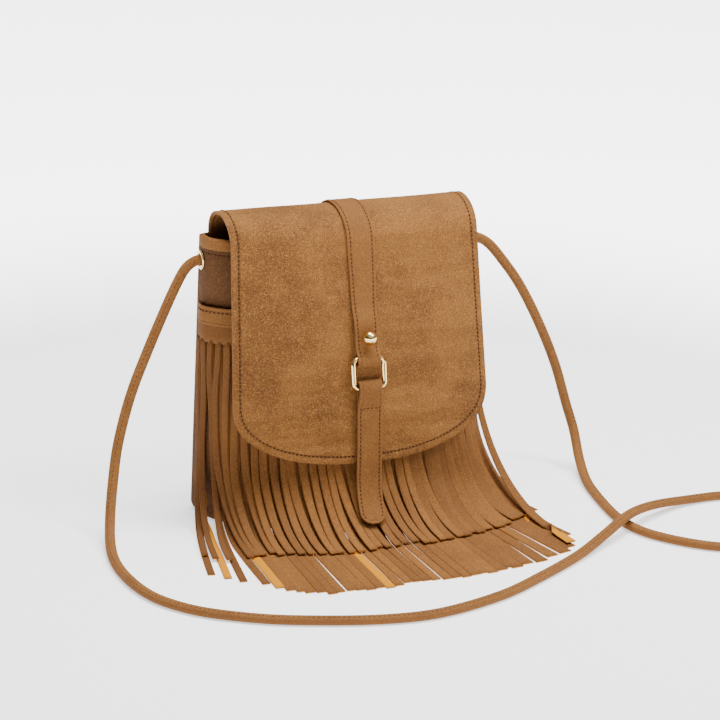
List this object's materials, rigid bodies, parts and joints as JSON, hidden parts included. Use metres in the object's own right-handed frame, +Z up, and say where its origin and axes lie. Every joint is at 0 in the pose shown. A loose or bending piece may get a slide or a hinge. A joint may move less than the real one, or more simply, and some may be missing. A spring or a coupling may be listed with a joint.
{
  "type": "fringed shoulder bag",
  "caption": "Small soft shoulder bag with a flap over its mouth, a front strap with a ring and a hanging tab, a fringed front and a long thin shoulder strap.",
  "frame": {"origin": "middle of the base's underside, on the plane the bag stands on", "axes": "+X to the viewer's right, -Y out of the front, +Z up"},
  "size_m": [0.5163, 0.2496, 0.2243],
  "materials": {
    "suede": "mottled camel suede, matt",
    "smooth_suede": "finer camel suede, matt",
    "lining_cloth": "dark plain lining",
    "pale_gold": "pale gold, polished",
    "steel": "plain"
  },
  "bodies": {
    "pouch": {"front_panel": "suede", "back_panel": "suede", "base_panel": "suede", "lining_front": "lining_cloth", "lining_back": "lining_cloth", "lining_base": "lining_cloth", "mouth_binding": "smooth_suede", "fringe_long": "suede", "fringe_short": "suede", "fringe_band": "smooth_suede", "snap_socket": "pale_gold", "eyelet_left": "pale_gold", "eyelet_right": "pale_gold", "eyelet_washer_left": "pale_gold", "eyelet_washer_right": "pale_gold", "shoulder_strap": "smooth_suede", "strap_knot_left": "smooth_suede", "strap_knot_right": "smooth_suede"},
    "flap": {"flap": "suede", "flap_lining": "smooth_suede", "centre_strap": "smooth_suede", "ball_stud": "pale_gold", "stud_back": "steel", "snap_button": "pale_gold"},
    "ring": {"strap_ring": "pale_gold"},
    "tab": {"hanging_tab": "smooth_suede"}
  },
  "joints": [
    {"name": "flap_hinge", "type": "hinge", "parent": "pouch", "child": "flap", "pos_m": [0, 0.0373, 0.2031], "axis": [-1, 0, 0], "range_deg": [0, 135]},
    {"name": "ring_swing", "type": "hinge", "parent": "flap", "child": "ring", "pos_m": [0, -0.03871, 0.12252], "axis": [-1, 0, 0], "range_deg": [0, 90]},
    {"name": "tab_swing", "type": "hinge", "parent": "ring", "child": "tab", "pos_m": [0, -0.04251, 0.10187], "axis": [-1, 0, 0], "range_deg": [0, 25]}
  ]
}
